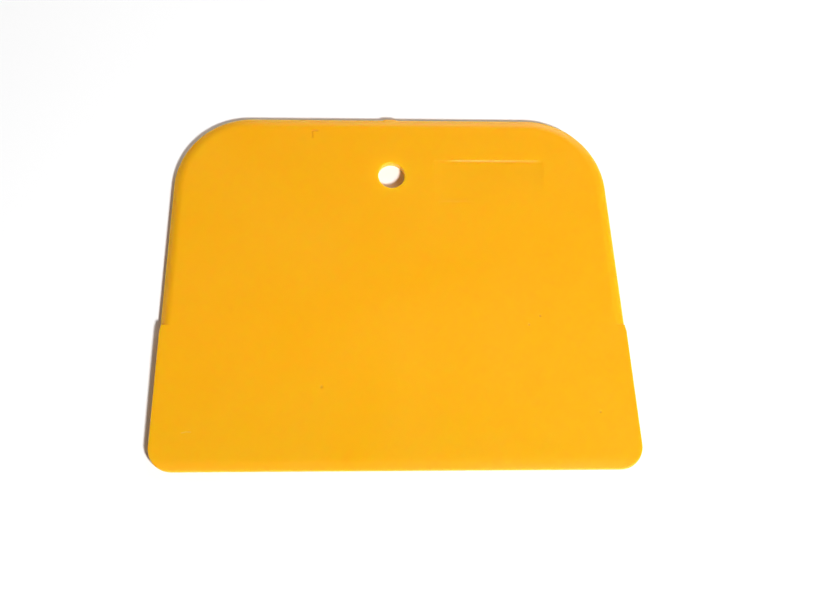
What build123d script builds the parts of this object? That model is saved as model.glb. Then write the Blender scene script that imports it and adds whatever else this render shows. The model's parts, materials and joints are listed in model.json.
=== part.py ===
from build123d import *
import os

os.makedirs("parts", exist_ok=True)

# A hand squeegee for pressing films flat and spreading fillers: one flexible moulded plate with a
# thick handle, its rim rounded on both faces, and a thin square-edged blade. It lies on its back.
# X runs along the working edge, Y from the working edge to the handle, Z up through the thickness.
# The origin is the middle of the footprint, on the surface that the plate lies on. All sizes are
# in millimetres.

# Driving dimensions: the outline
working_edge_width = 101.6  # between the virtual sharp corners of the blade (4 in)
far_edge_width = 88.9  # between the virtual sharp corners of the handle (3.5 in)
overall_height = 76.2  # working edge to the tip of the gate stub (3 in)
blade_height = 30.5  # working edge to the shoulder
blade_corner_radius = 4.76  # 3/16 in
handle_corner_radius = 16.5
shoulder_step = 0.2  # the handle is narrower than the blade by this much on each side
shoulder_ramp = 1.5  # the height over which the blade's sides come in to the handle's

# Driving dimensions: the thickness
plate_thickness = 2.0  # the handle, which is flat and of even thickness
bevel_start_thickness = 1.3  # the blade tapers to this on both faces alike
working_edge_thickness = 0.6  # and the bevels along its edge bring it down to this
bevel_width = 2.0
rim_radius = 3.0  # of the arc on each face of the handle's rim; the two arcs meet at mid thickness

# Driving dimensions: the hang hole, the label window and the gate stub
hang_hole_radius = 2.78  # 7/32 in across
hang_hole_from_far_edge = 12.7  # 1/2 in
hang_hole_round = 0.25  # at both mouths

label_window_width = 23.6
label_window_height = 9.6
label_window_left = 8.9  # from the centre line
label_window_below_hole = 1.2  # its centre is this much nearer the working edge than the hole's
label_window_depth = 0.15
label_window_draft = 45  # degrees
label_window_corner = 0.5

gate_stub_height = 0.2  # how far the trimmed gate stands out of the far edge
gate_stub_width = 3.6
gate_stub_thickness = 0.9
gate_stub_corner = 0.3
gate_stub_root = 1.0  # how far it reaches back into the rim

# Derived places
plate_height = overall_height - gate_stub_height
working_edge_y = -overall_height / 2
bevel_y = working_edge_y + bevel_width
shoulder_y = working_edge_y + blade_height
far_edge_y = working_edge_y + plate_height
mid_thickness = plate_thickness / 2
hang_hole_y = far_edge_y - hang_hole_from_far_edge
label_window_x = label_window_left + label_window_width / 2
label_window_y = hang_hole_y - label_window_below_hole

# Each face's rim arc has its centre this far inside the edge, where it meets the flat face.
rim_width = (rim_radius**2 - (rim_radius - mid_thickness) ** 2) ** 0.5


def half_width(y):
    """Half the plate's width at height y, on the straight slanting sides of the blade."""
    share = (y - working_edge_y) / plate_height
    return (working_edge_width + (far_edge_width - working_edge_width) * share) / 2


def mirrored_outline(*right_side):
    """A polygon from the points of its right side, lowest first, and their mirror images."""
    left_side = [(-x, y) for x, y in reversed(right_side)]
    Polygon(*right_side, *left_side, align=None)


with BuildPart() as spreader_plate:
    # Handle, upper half: a slab with large far corners. It starts wider and deeper than the handle,
    # so that a full rim arc fits on it, and loses all below mid thickness once the arc is cut.
    overhang = rim_radius - rim_width
    blank_far_y = far_edge_y + overhang
    with BuildSketch(Plane.XY.offset(plate_thickness - rim_radius)) as handle_blank:
        mirrored_outline(
            (half_width(shoulder_y) - shoulder_step + overhang, shoulder_y),
            (half_width(blank_far_y) - shoulder_step + overhang, blank_far_y),
        )
        far_corners = handle_blank.vertices().group_by(Axis.Y)[-1]
        fillet(far_corners, radius=handle_corner_radius + overhang)
    extrude(amount=rim_radius)
    face_edges = spreader_plate.faces().sort_by(Axis.Z)[-1].edges()
    fillet(face_edges.sort_by(Axis.Y)[1:], radius=rim_radius - 0.001)
    split(bisect_by=Plane.XY.offset(mid_thickness), keep=Keep.TOP)

    # Blade, upper half: square-edged, with rounded corners, and cut to its taper and its bevel. The
    # rim arcs of the handle stop dead where it starts.
    with BuildSketch(Plane.XY.offset(mid_thickness)) as blade_outline:
        mirrored_outline(
            (half_width(working_edge_y), working_edge_y),
            (half_width(shoulder_y - shoulder_ramp), shoulder_y - shoulder_ramp),
            (half_width(shoulder_y) - shoulder_step, shoulder_y),
        )
        edge_corners = blade_outline.vertices().group_by(Axis.Y)[0]
        fillet(edge_corners, radius=blade_corner_radius)
    extrude(amount=mid_thickness)
    with BuildSketch(Plane.YZ):
        Polygon(
            (working_edge_y, mid_thickness + working_edge_thickness / 2),
            (bevel_y, mid_thickness + bevel_start_thickness / 2),
            (shoulder_y, plate_thickness),
            (working_edge_y, plate_thickness),
            align=None,
        )
    extrude(amount=working_edge_width / 2, both=True, mode=Mode.SUBTRACT)

    mirror(about=Plane.XY.offset(mid_thickness))

    # Gate stub: the trimmed remains of the tab through which the mould was filled.
    with BuildSketch(Plane.XZ.offset(-far_edge_y - gate_stub_height)):
        with Locations((0, mid_thickness)):
            RectangleRounded(gate_stub_width, gate_stub_thickness, gate_stub_corner)
    extrude(amount=gate_stub_root)

    # Hang hole, right through, with both mouths rounded.
    with Locations((0, hang_hole_y, plate_thickness)):
        Hole(radius=hang_hole_radius)
    hole_mouths = spreader_plate.edges().filter_by(
        lambda edge: edge.geom_type == GeomType.CIRCLE
        and abs(edge.radius - hang_hole_radius) < 0.001
    )
    fillet(hole_mouths, radius=hang_hole_round)

    # Label window: a blank shallow recess beside the hole, with sloping walls.
    with BuildSketch(Plane.XY.offset(plate_thickness)):
        with Locations((label_window_x, label_window_y)):
            RectangleRounded(label_window_width, label_window_height, label_window_corner)
    extrude(amount=-label_window_depth, taper=label_window_draft, mode=Mode.SUBTRACT)

spreader_plate.part.label = "spreader_plate"
export_step(spreader_plate.part, "parts/spreader_plate.step")
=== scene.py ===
import json
import math

import bpy
from mathutils import Matrix, Vector, noise
from mathutils.geometry import delaunay_2d_cdt


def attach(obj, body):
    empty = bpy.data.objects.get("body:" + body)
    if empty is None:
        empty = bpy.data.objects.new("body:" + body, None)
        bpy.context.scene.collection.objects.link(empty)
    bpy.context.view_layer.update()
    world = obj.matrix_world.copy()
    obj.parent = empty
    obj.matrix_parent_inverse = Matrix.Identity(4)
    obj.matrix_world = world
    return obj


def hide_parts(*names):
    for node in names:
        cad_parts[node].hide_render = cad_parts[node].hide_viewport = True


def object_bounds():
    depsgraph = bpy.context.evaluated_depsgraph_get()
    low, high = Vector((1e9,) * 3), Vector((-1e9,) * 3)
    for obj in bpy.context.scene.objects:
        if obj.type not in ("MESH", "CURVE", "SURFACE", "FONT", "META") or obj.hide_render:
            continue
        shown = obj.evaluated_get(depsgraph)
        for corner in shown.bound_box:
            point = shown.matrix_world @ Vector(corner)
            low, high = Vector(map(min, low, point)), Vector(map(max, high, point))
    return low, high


# A hand squeegee, one moulding in slightly translucent yellow-orange polyethylene, lying on its back
# on a pale table. The CAD node gives the size and the place. The mesh made here stands for it, with
# the worn edges, the soft creases and the small marks that the plain solid leaves out.
# Shapes are worked out in millimetres, in the row frame, and scaled to metres when a mesh is made.

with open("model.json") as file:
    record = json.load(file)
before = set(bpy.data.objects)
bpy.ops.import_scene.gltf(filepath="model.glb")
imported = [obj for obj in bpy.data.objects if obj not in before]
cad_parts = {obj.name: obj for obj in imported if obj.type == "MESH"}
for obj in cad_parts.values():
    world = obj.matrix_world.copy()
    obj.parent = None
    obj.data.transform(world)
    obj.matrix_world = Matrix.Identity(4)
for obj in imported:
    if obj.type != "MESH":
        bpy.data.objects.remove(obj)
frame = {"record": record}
cad_low, cad_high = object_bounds()
MM = 0.001

# Sizes read from the frame
THICKNESS = (cad_high.z - cad_low.z) / MM
WORKING_EDGE_Y = cad_low.y / MM
STUB_TIP_Y = cad_high.y / MM
MID = THICKNESS / 2
HOLE = next(m for m in frame["record"]["mounts"] if m["name"] == "hang_hole")
HOLE_X, HOLE_Y = HOLE["pos_m"][0] / MM, HOLE["pos_m"][1] / MM
HOLE_RADIUS = HOLE["dims"]["r_mm"]
HOLE_ROUND = (THICKNESS - HOLE["dims"]["length_mm"]) / 2

# The outline, as in the CAD part
WORKING_EDGE_WIDTH = 101.6
FAR_EDGE_WIDTH = 88.9
BLADE_HEIGHT = 30.5
BLADE_CORNER_RADIUS = 4.76
HANDLE_CORNER_RADIUS = 16.5
SHOULDER_STEP = 0.2
SHOULDER_RAMP = 1.5
STUB_HEIGHT = 0.2
STUB_HALF_WIDTH = 1.8
STUB_HALF_THICKNESS = 0.45

# The thickness, as in the CAD part
BEVEL_START_THICKNESS = 1.3
WORKING_EDGE_THICKNESS = 0.6
BEVEL_WIDTH = 2.0
RIM_RADIUS = 3.0
RIM_WIDTH = math.sqrt(RIM_RADIUS**2 - (RIM_RADIUS - MID) ** 2)

# What the moulding and its use add
NOSE_ROUND = 0.06  # of the ridge where the two rim arcs meet
BLADE_EDGE_ROUND = 0.22
CREASE_SOFTNESS = 0.5  # of the shoulder and the bevel lines
RIM_END = 0.3  # the length along the side over which the rim arcs run out into the blade
STUB_SIDE = 0.9  # the width of the sloping ends of the stub's mound
WAVE_HEIGHT, RIPPLE_HEIGHT = 0.012, 0.003  # of the slow and the quick unevenness of the faces
BACK_WAVES = 0.6  # the back face's unevenness, as a share of the front's
BACK_LIFT = 0.012  # keeps the back face's waves off the table
EDGE_DENT_DEPTH = 0.05  # of the wear along the working edge

# Places and slopes that follow
FAR_EDGE_Y = STUB_TIP_Y - STUB_HEIGHT
SHOULDER_Y = WORKING_EDGE_Y + BLADE_HEIGHT
BEVEL_Y = WORKING_EDGE_Y + BEVEL_WIDTH
SIDE_SLOPE = (WORKING_EDGE_WIDTH - FAR_EDGE_WIDTH) / 2 / (FAR_EDGE_Y - WORKING_EDGE_Y)
TAPER = (THICKNESS - BEVEL_START_THICKNESS) / 2 / (BLADE_HEIGHT - BEVEL_WIDTH)
BEVEL = (BEVEL_START_THICKNESS - WORKING_EDGE_THICKNESS) / 2 / BEVEL_WIDTH

# The label window, as in the CAD part but with softer walls
WINDOW_LEFT, WINDOW_WIDTH, WINDOW_HEIGHT = 8.9, 23.6, 9.6
WINDOW_CORNER = 0.5
WINDOW_BELOW_HOLE = 1.2
WINDOW_CENTRE = Vector((WINDOW_LEFT + WINDOW_WIDTH / 2, HOLE_Y - WINDOW_BELOW_HOLE))
WINDOW_WALL = 0.5  # the width of its sloping walls in plan

# Marks of moulding and handling, measured from the middle of the working edge, then the painted glows
# along the working edge and round the hole
NICK = [(-15.5, 73.25), (-16.3, 73.25), (-16.55, 72.95), (-16.55, 71.75)]
NICK_WIDTH, NICK_DEPTH = 0.22, 0.05
PITS = [(-15.3, 17.4, 0.30), (30.3, 32.4, 0.22), (27.9, 30.5, 0.2), (42.0, 11.9, 0.2)]  # x, y, radius
PIT_DEPTH = 0.12
SCRATCH = [(-43.6, 7.9), (-42.8, 8.1), (-41.9, 8.1)]
SCRATCH_WIDTH, SCRATCH_DEPTH = 0.12, 0.03
RIDGE_SHARE = 0.6  # the height of the ridges beside the scratch, as a share of its depth
EDGE_GLOW, EDGE_GLOW_REACH = 0.35, 0.35  # the strength and the width of the painted glow along the thin working edge, which stands in for light shining through it
HOLE_GLOW_REACH = 1.0  # of the painted glow round the hole, which stands in for light entering through its wall

# Fineness of the mesh
RIM_STEPS = 12  # of each rim arc
CORNER_STEPS = 8  # of the blade's worn corners
MOUTH_STEPS = 8  # of the rounding at each mouth of the hole
HOLE_POINTS = 96
GRID_SPACING = 1.15  # of the flat faces
BLADE_CLEARANCE = 1.0  # between the grid and the blade's sides
RIM_CLEARANCE = 1.2  # between the grid and the rim arcs
ON_LINE = 0.01  # a station this close to an edge's line is on it


def smooth(t):
    """0 below 0, 1 above 1, and a smooth rise between."""
    t = min(1.0, max(0.0, t))
    return t * t * (3 - 2 * t)


def hinge(t, softness):
    """0 for negative t and t for positive t, with a soft bend between."""
    return 0.5 * (t + math.sqrt(t * t + softness * softness))


def bump(t):
    """1 where t is 0, falling smoothly to nothing a few units away on either side."""
    return math.exp(-t * t)


def half_width(y):
    """Half the blade's width at y, on its straight slanting sides."""
    return WORKING_EDGE_WIDTH / 2 - SIDE_SLOPE * (y - WORKING_EDGE_Y)


def spread(start, end, spacing):
    """Values from start to end, both included, about spacing apart."""
    count = max(1, math.ceil(abs(end - start) / spacing))
    return [start + (end - start) * i / count for i in range(count + 1)]


def distance_to_line(x, y, points):
    """The distance from x, y to the nearest stretch of a line through points."""
    here = Vector((x, y))
    best = 1e9
    for a, b in zip(points, points[1:]):
        a, b = Vector(a), Vector(b)
        along = b - a
        share = min(1.0, max(0.0, (here - a).dot(along) / along.length_squared))
        best = min(best, (here - a - along * share).length)
    return best


# ---------------------------------------------------------------- the shape of the two faces


def face_drop(y):
    """How far each flat face lies below the handle's, from the taper of the blade and its bevel."""
    blade = hinge(SHOULDER_Y - y, CREASE_SOFTNESS)
    bevel = hinge(BEVEL_Y - y, CREASE_SOFTNESS)
    return TAPER * blade + (BEVEL - TAPER) * bevel


def window_distance(x, y):
    """The distance inside the label window's outline, negative outside it."""
    dx = abs(x - WINDOW_CENTRE.x) - WINDOW_WIDTH / 2 + WINDOW_CORNER
    dy = abs(y - WINDOW_CENTRE.y) - WINDOW_HEIGHT / 2 + WINDOW_CORNER
    outside = math.hypot(max(dx, 0), max(dy, 0)) + min(max(dx, dy), 0)
    return WINDOW_CORNER - outside


def window_depth(x, y):
    """The label window: its insert stood a little askew in the mould, so it fades at the near right."""
    inside = window_distance(x, y)
    if inside <= 0:
        return 0.0
    across = (x - WINDOW_CENTRE.x) / WINDOW_WIDTH + 0.5
    up = (y - WINDOW_CENTRE.y) / WINDOW_HEIGHT + 0.5
    # The near side is deepest by its left end, and almost gone past the middle
    near = 0.1 * smooth(across / 0.1) - 0.09 * smooth((across - 0.2) / 0.3)
    # The far side deepens over its left third, wavers a little, and rises again by its right end
    far = 0.08 + 0.18 * smooth(across / 0.3) - 0.19 * smooth((across - 0.9) / 0.1)
    far += 0.04 * noise.noise(Vector((x * 0.3, 0, 7)))
    return (near + (far - near) * smooth(up)) * smooth(inside / WINDOW_WALL)


def mark_depth(x, y):
    """The nick, the pits, and the scratch with a low ridge thrown up along each side."""
    y = y - WORKING_EDGE_Y
    depth = NICK_DEPTH * bump(distance_to_line(x, y, NICK) / NICK_WIDTH)
    for pit_x, pit_y, radius in PITS:
        depth += PIT_DEPTH * bump(math.hypot(x - pit_x, y - pit_y) / radius)
    away = distance_to_line(x, y, SCRATCH) / SCRATCH_WIDTH
    return depth + SCRATCH_DEPTH * (bump(away) - RIDGE_SHARE * bump(away - 2))


def waviness(x, y, side):
    """The unevenness of a moulded face. The side is 1 for the front and -1 for the back."""
    slow = noise.noise(Vector((x / 26, y / 22, 3.1 + side)))
    quick = noise.noise(Vector((x / 9, y / 8, 9.4 + side)))
    return WAVE_HEIGHT * slow + RIPPLE_HEIGHT * quick


def back_lift(x, y):
    """How far the back face's waves stand above the flat."""
    return BACK_LIFT + BACK_WAVES * waviness(x, y, -1)


def front_height(x, y):
    """The front face's height, away from the rim."""
    return THICKNESS - face_drop(y) + waviness(x, y, 1) - window_depth(x, y) - mark_depth(x, y)


def back_height(x, y):
    """The back face's height, away from the rim."""
    return face_drop(y) + back_lift(x, y)


# ---------------------------------------------------------------- the outline and the rim


def side_stations():
    """Heights of the rim's stations up the right side, closest at the shoulder."""
    blade_start = WORKING_EDGE_Y + BLADE_CORNER_RADIUS * (1 + math.sin(math.atan(SIDE_SLOPE)))
    ramp_y = SHOULDER_Y - SHOULDER_RAMP
    handle_end = FAR_EDGE_Y - HANDLE_CORNER_RADIUS * (1 - math.sin(math.atan(SIDE_SLOPE)))
    heights = spread(blade_start, ramp_y, spacing=0.9)
    heights += spread(ramp_y, SHOULDER_Y - 0.1, spacing=0.25)[1:]
    heights += spread(SHOULDER_Y - 0.1, SHOULDER_Y + RIM_END + 0.1, spacing=0.05)[1:]
    return heights + spread(SHOULDER_Y + RIM_END + 0.1, handle_end, spacing=0.8)[1:]


def right_half():
    """The outline's points and outward normals, from the working edge's middle round to the far one."""
    tilt = math.atan(SIDE_SLOPE)
    side_normal = Vector((math.cos(tilt), math.sin(tilt)))
    blade_y = WORKING_EDGE_Y + BLADE_CORNER_RADIUS
    blade_x = half_width(blade_y) - BLADE_CORNER_RADIUS / math.cos(tilt)
    handle_y = FAR_EDGE_Y - HANDLE_CORNER_RADIUS
    handle_x = half_width(handle_y) - SHOULDER_STEP - HANDLE_CORNER_RADIUS / math.cos(tilt)
    half = []
    for x in spread(0, blade_x, spacing=0.9)[:-1]:
        half.append((Vector((x, WORKING_EDGE_Y)), Vector((0, -1))))
    for angle in spread(-math.pi / 2, tilt, spacing=math.radians(3.5))[:-1]:
        normal = Vector((math.cos(angle), math.sin(angle)))
        half.append((Vector((blade_x, blade_y)) + BLADE_CORNER_RADIUS * normal, normal))
    for y in side_stations()[:-1]:
        ramp = smooth((y - SHOULDER_Y + SHOULDER_RAMP) / SHOULDER_RAMP)
        half.append((Vector((half_width(y) - SHOULDER_STEP * ramp, y)), side_normal))
    for angle in spread(tilt, math.pi / 2, spacing=math.radians(2.2))[:-1]:
        normal = Vector((math.cos(angle), math.sin(angle)))
        half.append((Vector((handle_x, handle_y)) + HANDLE_CORNER_RADIUS * normal, normal))
    far_xs = spread(handle_x, STUB_HALF_WIDTH, spacing=0.8)[:-1]
    far_xs += spread(STUB_HALF_WIDTH, 0, spacing=0.12)
    return half + [(Vector((x, FAR_EDGE_Y)), Vector((0, 1))) for x in far_xs]


def whole_outline():
    """All the stations round the plate, anticlockwise seen from the front."""
    right = right_half()
    left = [(Vector((-p.x, p.y)), Vector((-n.x, n.y))) for p, n in reversed(right[1:-1])]
    return right + left


def handle_section():
    """The handle's rim, from the flat face to the nose, as (inset, drop below the face)."""
    turn = math.asin((RIM_WIDTH - NOSE_ROUND) / RIM_RADIUS)
    points = [(RIM_WIDTH + 0.5, 0.0), (RIM_WIDTH + 0.15, 0.0)]
    for i in range(RIM_STEPS + 1):
        angle = turn * i / RIM_STEPS
        points.append((RIM_WIDTH - RIM_RADIUS * math.sin(angle), RIM_RADIUS * (1 - math.cos(angle))))
    return points + [(NOSE_ROUND * 0.35, MID - 0.035), (0.0, MID)]


def blade_section(half_thickness):
    """The blade's square edge with its worn corner, with as many points as the handle's."""
    radius = min(BLADE_EDGE_ROUND, 0.6 * half_thickness)
    points = [(radius * 2.5, 0.0), (radius * 1.5, 0.0)]
    for i in range(CORNER_STEPS + 1):
        angle = math.pi / 2 * i / CORNER_STEPS
        points.append((radius * (1 - math.sin(angle)), radius * (1 - math.cos(angle))))
    below = RIM_STEPS - CORNER_STEPS + 2
    return points + [(0.0, radius + (half_thickness - radius) * (i + 1) / below) for i in range(below)]


def stub_section():
    """The trimmed gate, a low mound that stands out of the nose of the rim."""
    shelf_drop = MID - STUB_HALF_THICKNESS
    points = []
    for inset, drop in handle_section():
        rise = smooth((drop - shelf_drop + 0.1) / (MID - shelf_drop))
        points.append((inset * (1 - rise) - STUB_HEIGHT * rise, drop))
    return points


def rim_section(point):
    """The section at one station: what the rim looks like there, from the face to the nose."""
    half_thickness = MID - face_drop(point.y)
    handle = handle_section()
    blade = blade_section(half_thickness)
    share = smooth((point.y - SHOULDER_Y) / RIM_END)
    section = [
        (b[0] + (h[0] - b[0]) * share, b[1] + (h[1] - b[1]) * share) for b, h in zip(blade, handle)
    ]
    if point.y > FAR_EDGE_Y - ON_LINE and abs(point.x) < STUB_HALF_WIDTH:
        raised = smooth((STUB_HALF_WIDTH - abs(point.x)) / STUB_SIDE)
        section = [
            (r[0] + (s[0] - r[0]) * raised, r[1] + (s[1] - r[1]) * raised)
            for r, s in zip(section, stub_section())
        ]
    return section


def edge_wear(point, inset):
    """Small dents along the working edge, which go in and never out."""
    if point.y > WORKING_EDGE_Y + ON_LINE or inset > BLADE_EDGE_ROUND:
        return 0.0
    wide = noise.noise(Vector((point.x * 0.8, 1.7, 0)))
    narrow = noise.noise(Vector((point.x * 3, 5, 0)))
    return EDGE_DENT_DEPTH * max(0.0, wide + 0.5 * narrow - 0.25)


# ---------------------------------------------------------------- the mesh


class Shell:
    """The vertices and faces of a mesh that is being made."""

    def __init__(self):
        self.points = []
        self.faces = []

    def add(self, x, y, z):
        self.points.append((x, y, z))
        return len(self.points) - 1

    def strip(self, first, second):
        """Quads between two closed rings with as many points each."""
        count = len(first)
        for i in range(count):
            j = (i + 1) % count
            self.faces.append((first[i], first[j], second[j], second[i]))


def rim_ring(shell, stations, sections, level, front):
    """The ring that joins the same point of all the sections, on the front half or the back half."""
    ring = []
    for (point, normal), section in zip(stations, sections):
        inset, drop = section[level]
        place = point - normal * (inset + edge_wear(point, inset))
        wave = smooth(inset / RIM_WIDTH)
        if front:
            z = THICKNESS - face_drop(place.y) - drop + wave * waviness(place.x, place.y, 1)
        else:
            z = face_drop(place.y) + drop + wave * back_lift(place.x, place.y)
        ring.append(shell.add(place.x, place.y, z))
    return ring


def rim_rings(shell, stations):
    """The band round the plate, from the front face over the nose to the back face, ring by ring."""
    sections = [rim_section(point) for point, _ in stations]
    levels = range(len(sections[0]))
    rings = [rim_ring(shell, stations, sections, level, True) for level in levels]
    rings += [rim_ring(shell, stations, sections, level, False) for level in reversed(levels[:-1])]
    for inner, outer in zip(rings, rings[1:]):
        shell.strip(outer, inner)
    return rings[0], rings[-1]


def circle(radius, count):
    """Points of a circle round the hole, anticlockwise."""
    turns = [2 * math.pi * i / count for i in range(count)]
    return [(HOLE_X + radius * math.cos(a), HOLE_Y + radius * math.sin(a)) for a in turns]


def hole_rings(shell):
    """The hole's wall, rounded at both mouths. Returns the rings on the front and the back face."""
    rings = []
    for i in range(MOUTH_STEPS + 1):
        angle = math.pi / 2 * (1 - i / MOUTH_STEPS)
        radius = HOLE_RADIUS + HOLE_ROUND * (1 - math.cos(angle))
        drop = HOLE_ROUND * (1 - math.sin(angle))
        rings.append((radius, drop))
    levels = [(r, THICKNESS - d) for r, d in rings] + [(r, d) for r, d in reversed(rings)]
    made = []
    for radius, z in levels:
        at_mouth = smooth((radius - HOLE_RADIUS) / HOLE_ROUND)
        ring = []
        for x, y in circle(radius, HOLE_POINTS):
            shift = front_height(x, y) - THICKNESS if z > MID else back_height(x, y)
            ring.append(shell.add(x, y, z + at_mouth * shift))
        made.append(ring)
    for upper, lower in zip(made, made[1:]):
        shell.strip(upper, lower)
    return made[0], made[-1]


def window_points():
    """Points on both sides of each crease of the label window."""
    points = []
    for inside in (-0.3, -0.1, 0.0, 0.05, 0.1, 0.15, 0.2, 0.3, 0.55):
        wide = WINDOW_WIDTH / 2 - inside
        high = WINDOW_HEIGHT / 2 - inside
        for x in spread(-wide, wide, spacing=0.45):
            points += [(WINDOW_CENTRE.x + x, WINDOW_CENTRE.y + s * high) for s in (1, -1)]
        for y in spread(-high, high, spacing=0.45)[1:-1]:
            points += [(WINDOW_CENTRE.x + s * wide, WINDOW_CENTRE.y + y) for s in (1, -1)]
    return points


def patch(low_x, high_x, low_y, high_y, spacing):
    """A fine square grid, for a mark."""
    return [(x, y) for x in spread(low_x, high_x, spacing) for y in spread(low_y, high_y, spacing)]


def mark_patches():
    """The rectangles that hold the marks, with the spacing of the mesh in each."""
    nick_x, nick_y = NICK[-1][0], NICK[-1][1] + WORKING_EDGE_Y
    boxes = [(nick_x - 0.5, nick_x + 1.4, nick_y - 0.4, nick_y + 1.95, 0.075)]
    for x, y, radius in PITS:
        y += WORKING_EDGE_Y
        reach = 2.4 * radius
        boxes.append((x - reach, x + reach, y - reach, y + reach, radius / 3))
    (x0, y0), (x1, y1) = SCRATCH[0], SCRATCH[-1]
    y0, y1 = y0 + WORKING_EDGE_Y, y1 + WORKING_EDGE_Y
    boxes.append((x0 - 0.4, x1 + 0.4, y0 - 0.5, y1 + 0.5, 0.08))
    return boxes


def grid_half_width(y):
    """Half the width of the grid's row at y, which stays clear of the rim and the corners."""
    inset = BLADE_CLEARANCE if y < SHOULDER_Y - 0.4 else RIM_WIDTH + RIM_CLEARANCE
    width = half_width(y) - inset
    near = WORKING_EDGE_Y + BLADE_CORNER_RADIUS - y
    if near > 0:
        round_off = BLADE_CORNER_RADIUS - math.sqrt(BLADE_CORNER_RADIUS**2 - near**2)
        width -= round_off + 0.6 * near / BLADE_CORNER_RADIUS
    far = y - FAR_EDGE_Y + HANDLE_CORNER_RADIUS
    if far > 0:
        radius = HANDLE_CORNER_RADIUS - RIM_WIDTH - RIM_CLEARANCE
        width -= radius - math.sqrt(max(0.0, radius**2 - far**2))
    return width


def face_points(front):
    """Points inside the rim on one face: an even grid, and closer points where the face bends."""
    rows = spread(BEVEL_Y + 1.6, FAR_EDGE_Y - RIM_WIDTH - RIM_CLEARANCE, spacing=GRID_SPACING)
    bevel_shifts = (-1.5, -1.1, -0.75, -0.5, -0.3, -0.1, 0.1, 0.3, 0.5, 0.75, 1.1)
    rows += [BEVEL_Y + shift for shift in bevel_shifts]
    rows += [SHOULDER_Y + shift for shift in (-0.6, -0.3, 0.0, 0.3)]
    boxes = mark_patches() if front else []
    points = []
    for y in rows:
        width = grid_half_width(y)
        for x in spread(-width, width, spacing=GRID_SPACING):
            near_hole = math.hypot(x - HOLE_X, y - HOLE_Y) < HOLE_RADIUS + HOLE_ROUND + 1.1
            near_wall = front and -0.7 < window_distance(x, y) < 0.9
            marked = any(a - 0.3 < x < b + 0.3 and c - 0.3 < y < d + 0.3 for a, b, c, d, _ in boxes)
            if not (near_hole or near_wall or marked):
                points.append((x, y))
    for past_mouth in (0.06, 0.12, 0.18, 0.25, 0.33, 0.45, 0.7):
        points += circle(HOLE_RADIUS + HOLE_ROUND + past_mouth, HOLE_POINTS)
    if front:
        points += window_points()
        for box in boxes:
            points += patch(*box)
    return points


def fill_face(shell, outer, inner, front):
    """Triangles over one face, between the rim's last ring and the hole's."""
    height = front_height if front else back_height
    edge = outer + inner
    flat = [Vector(shell.points[i][:2]) for i in edge]
    flat += [Vector(p) for p in face_points(front)]
    loops = [(i, (i + 1) % len(outer)) for i in range(len(outer))]
    start = len(outer)
    loops += [(start + i, start + (i + 1) % len(inner)) for i in range(len(inner))]
    placed, _, triangles, origins, _, _ = delaunay_2d_cdt(flat, loops, [], 1, 1e-5)
    index = []
    for place, source in zip(placed, origins):
        known = [s for s in source if s < len(edge)]
        index.append(edge[known[0]] if known else shell.add(place.x, place.y, height(place.x, place.y)))
    across_hole = set(inner)
    for triangle in triangles:
        corners = [index[i] for i in triangle]
        if not across_hole.issuperset(corners):
            shell.faces.append(corners if front else corners[::-1])


def paint(mesh, name, value):
    """Stores value(x, y, z), in millimetres, at each vertex, for the material to read."""
    layer = mesh.attributes.new(name, "FLOAT", "POINT")
    layer.data.foreach_set("value", [value(*(v.co / MM)) for v in mesh.vertices])


def nick_and_pit_darkening(x, y, z):
    """Darker colour in the nick and the pits of the front face."""
    if z < MID:
        return 0.0
    y = y - WORKING_EDGE_Y
    pits = [bump(math.hypot(x - pit_x, y - pit_y) / radius) for pit_x, pit_y, radius in PITS]
    return max(bump(distance_to_line(x, y, NICK) / NICK_WIDTH), *pits)


def scuff_and_edge_glow(x, y, z):
    """Pale bruised plastic along the scratch on the front face, and a painted glow along the thin
    working edge on both faces, which stands in for light shining through it.
    """
    y = y - WORKING_EDGE_Y
    # Painted glow along the thin working edge, on both faces
    edge_glow = EDGE_GLOW * math.exp(-y / EDGE_GLOW_REACH)
    if z < MID:
        return edge_glow
    return max(edge_glow, bump(distance_to_line(x, y, SCRATCH) / SCRATCH_WIDTH))


def painted_hole_glow(x, y, z):
    """Painted glow: how much paler the plastic is coloured near the hole, standing in for light that
    also enters through the wall.
    """
    past_mouth = math.hypot(x - HOLE_X, y - HOLE_Y) - HOLE_RADIUS
    return math.exp(-max(0.0, past_mouth) / HOLE_GLOW_REACH)


def make_plate():
    """The whole moulding as one closed mesh."""
    shell = Shell()
    stations = whole_outline()
    front_rim, back_rim = rim_rings(shell, stations)
    front_mouth, back_mouth = hole_rings(shell)
    fill_face(shell, front_rim, front_mouth, True)
    fill_face(shell, back_rim, back_mouth, False)
    mesh = bpy.data.meshes.new("squeegee_plate")
    mesh.from_pydata([Vector(p) * MM for p in shell.points], [], shell.faces)
    mesh.validate()
    mesh.polygons.foreach_set("use_smooth", [True] * len(mesh.polygons))
    paint(mesh, "nick_and_pit_darkening", nick_and_pit_darkening)
    paint(mesh, "scuff_and_edge_glow", scuff_and_edge_glow)
    paint(mesh, "painted_hole_glow", painted_hole_glow)
    plate = bpy.data.objects.new("squeegee_plate", mesh)
    bpy.context.scene.collection.objects.link(plate)
    return plate


# ---------------------------------------------------------------- materials


DEEP_PIGMENT, LIGHT_PIGMENT = (0.98, 0.427, 0.005, 1), (0.99, 0.44, 0.007, 1)
HOLE_GLOW_PIGMENT = (1.0, 0.5, 0.008, 1)  # painted glow beside the hole, for light that enters through its wall
# Paler and yellower: bruised plastic in the scratch, and the painted glow along the working edge
BRUISED_AND_LIT = (1.0, 0.62, 0.12, 1)
# Darker colour for the nick and the pits
DARKER_PIGMENT = (0.4, 0.17, 0.01, 1)


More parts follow.
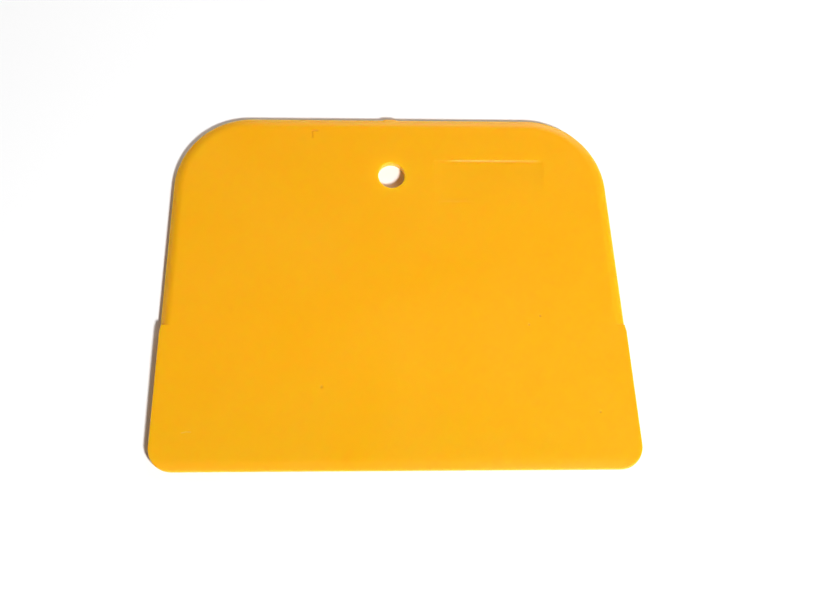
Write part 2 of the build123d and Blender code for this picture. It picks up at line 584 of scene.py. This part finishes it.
def polyethylene():
    """Satin moulded polyethylene: fine grain, patches of gloss, faint scratches, scuffs, darker colour
    in the nick and the pits, and painted glows along the working edge and round the hole.
    """
    material = bpy.data.materials.new("yellow_polyethylene")
    material.use_nodes = True
    nodes, links = material.node_tree.nodes, material.node_tree.links
    shader = nodes["Principled BSDF"]
    shader.inputs["IOR"].default_value = 1.5
    shader.inputs["Specular IOR Level"].default_value = 0.25
    shader.inputs["Subsurface Weight"].default_value = 1.0
    shader.inputs["Subsurface Radius"].default_value = (1.6, 0.65, 0.05)
    shader.inputs["Subsurface Scale"].default_value = 1.6 * MM
    place = nodes.new("ShaderNodeTexCoord").outputs["Object"]

    def clouds(scale, detail, stretch=(1, 1, 1)):
        mapping = nodes.new("ShaderNodeMapping")
        mapping.inputs["Scale"].default_value = stretch
        links.new(place, mapping.inputs["Vector"])
        node = nodes.new("ShaderNodeTexNoise")
        node.inputs["Scale"].default_value = scale
        node.inputs["Detail"].default_value = detail
        links.new(mapping.outputs["Vector"], node.inputs["Vector"])
        return node.outputs["Fac"]

    def remap(value, low, high, new_low, new_high):
        node = nodes.new("ShaderNodeMapRange")
        node.inputs["From Min"].default_value = low
        node.inputs["From Max"].default_value = high
        node.inputs["To Min"].default_value = new_low
        node.inputs["To Max"].default_value = new_high
        links.new(value, node.inputs["Value"])
        return node.outputs["Result"]

    def blend(factor, first, second):
        node = nodes.new("ShaderNodeMix")
        node.data_type = "RGBA"
        links.new(factor, node.inputs["Factor"])
        for socket, value in ((node.inputs["A"], first), (node.inputs["B"], second)):
            if isinstance(value, tuple):
                socket.default_value = value
            else:
                links.new(value, socket)
        return node.outputs["Result"]

    def attribute(name):
        node = nodes.new("ShaderNodeAttribute")
        node.attribute_name = name
        return node.outputs["Fac"]

    def relief(height, strength, distance, normal=None):
        node = nodes.new("ShaderNodeBump")
        node.inputs["Strength"].default_value = strength
        node.inputs["Distance"].default_value = distance
        links.new(height, node.inputs["Height"])
        if normal:
            links.new(normal, node.inputs["Normal"])
        return node.outputs["Normal"]

    # Colour: slow drift of the pigment, the painted glow round the hole, then scuffs with the painted
    # glow along the working edge, then darker colour in the nick and the pits
    drift = remap(clouds(scale=38, detail=3), 0.3, 0.7, 0, 1)
    pigment = blend(drift, DEEP_PIGMENT, LIGHT_PIGMENT)
    # Painted glow: paler colour near the hole, standing in for light that enters through its wall
    with_hole_glow = blend(attribute("painted_hole_glow"), pigment, HOLE_GLOW_PIGMENT)
    # The scratch's real bruising, and the painted glow along the working edge
    scuffed_and_glowing = blend(remap(attribute("scuff_and_edge_glow"), 0, 1, 0, 0.5), with_hole_glow, BRUISED_AND_LIT)
    # Darker colour in the nick and the pits
    darkened = blend(remap(attribute("nick_and_pit_darkening"), 0, 1, 0, 0.36), scuffed_and_glowing, DARKER_PIGMENT)
    links.new(darkened, shader.inputs["Base Color"])

    # Gloss: satin, in patches
    patches = clouds(scale=60, detail=4)
    links.new(remap(patches, 0.3, 0.7, 0.34, 0.44), shader.inputs["Roughness"])

    # Relief: the mould's fine grain, and faint scratches left by wiping
    grain = relief(clouds(scale=2600, detail=3), strength=0.25, distance=0.006 * MM)
    streaks = remap(clouds(scale=900, detail=2, stretch=(1, 0.03, 1)), 0.62, 0.7, 0, 1)
    wiped = relief(streaks, strength=0.3, distance=0.004 * MM, normal=grain)
    links.new(wiped, shader.inputs["Normal"])
    return material


def plain(name, colour, roughness):
    """A plain matte material, for the table."""
    material = bpy.data.materials.new(name)
    material.use_nodes = True
    shader = material.node_tree.nodes["Principled BSDF"]
    shader.inputs["Base Color"].default_value = (*colour, 1)
    shader.inputs["Roughness"].default_value = roughness
    return material


# ---------------------------------------------------------------- table, lights and camera

CENTRE = (cad_low + cad_high) / 2
TABLE_HALF_WIDTH = 3.0  # metres
TABLE_GAP = 0.01 * MM  # under the plate
AMBIENT = 0.03


def make_table():
    """A pale table just under the plate."""
    half = TABLE_HALF_WIDTH
    mesh = bpy.data.meshes.new("table")
    corners = [(-half, -half), (half, -half), (half, half), (-half, half)]
    mesh.from_pydata([(x, y, cad_low.z - TABLE_GAP) for x, y in corners], [], [(0, 1, 2, 3)])
    mesh.materials.append(plain("table", (0.96, 0.96, 0.96), 0.8))
    table = bpy.data.objects.new("table", mesh)
    bpy.context.scene.collection.objects.link(table)


def make_lamp(name, azimuth, elevation, distance, size, watts):
    """A square soft box that faces the plate. Azimuth 0 is over the working edge, 90 over its right."""
    a, e = math.radians(azimuth), math.radians(elevation)
    away = Vector((math.sin(a) * math.cos(e), -math.cos(a) * math.cos(e), math.sin(e)))
    lamp = bpy.data.lights.new(name, "AREA")
    lamp.size = size
    lamp.energy = watts
    holder = bpy.data.objects.new(name, lamp)
    holder.location = CENTRE + away * distance
    holder.rotation_euler = away.to_track_quat("Z", "Y").to_euler()
    bpy.context.scene.collection.objects.link(holder)


def make_camera(azimuth, elevation, roll, distance, aim, lens):
    """The camera looks at the plate's centre moved by aim, in millimetres along X and Y."""
    camera = bpy.data.cameras.new("camera")
    camera.lens = lens
    camera.sensor_width = 36
    camera.clip_start = 0.01
    camera.clip_end = 20
    holder = bpy.data.objects.new("camera", camera)
    turn = (
        Matrix.Rotation(math.radians(azimuth), 4, "Z")
        @ Matrix.Rotation(math.radians(90 - elevation), 4, "X")
        @ Matrix.Rotation(math.radians(roll), 4, "Z")
    )
    target = CENTRE + Vector((*aim, 0)) * MM
    holder.matrix_world = Matrix.Translation(target + turn.col[2].xyz * distance) @ turn
    bpy.context.scene.collection.objects.link(holder)
    bpy.context.scene.camera = holder


def make_studio():
    """Dim even surroundings, a key lamp at the front right, and low fills from behind and the left."""
    scene = bpy.context.scene
    scene.view_settings.view_transform = "Standard"
    world = bpy.data.worlds.new("studio")
    world.use_nodes = True
    world.node_tree.nodes["Background"].inputs["Color"].default_value = (1, 1, 1, 1)
    world.node_tree.nodes["Background"].inputs["Strength"].default_value = AMBIENT
    scene.world = world
    make_lamp("key", azimuth=33, elevation=46, distance=0.8, size=0.15, watts=8.45)
    make_lamp("far_fill", azimuth=160, elevation=18, distance=0.55, size=0.35, watts=1.7)
    make_lamp("left_fill", azimuth=262, elevation=16, distance=0.55, size=0.2, watts=0.45)


make_camera(azimuth=-17.04, elevation=72.55, roll=16.34, distance=0.4307, aim=(3.31, -1.96), lens=91.1)
plate = make_plate()
plate.data.materials.append(polyethylene())
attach(plate, "root")
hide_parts("spreader_plate")
make_table()
make_studio()
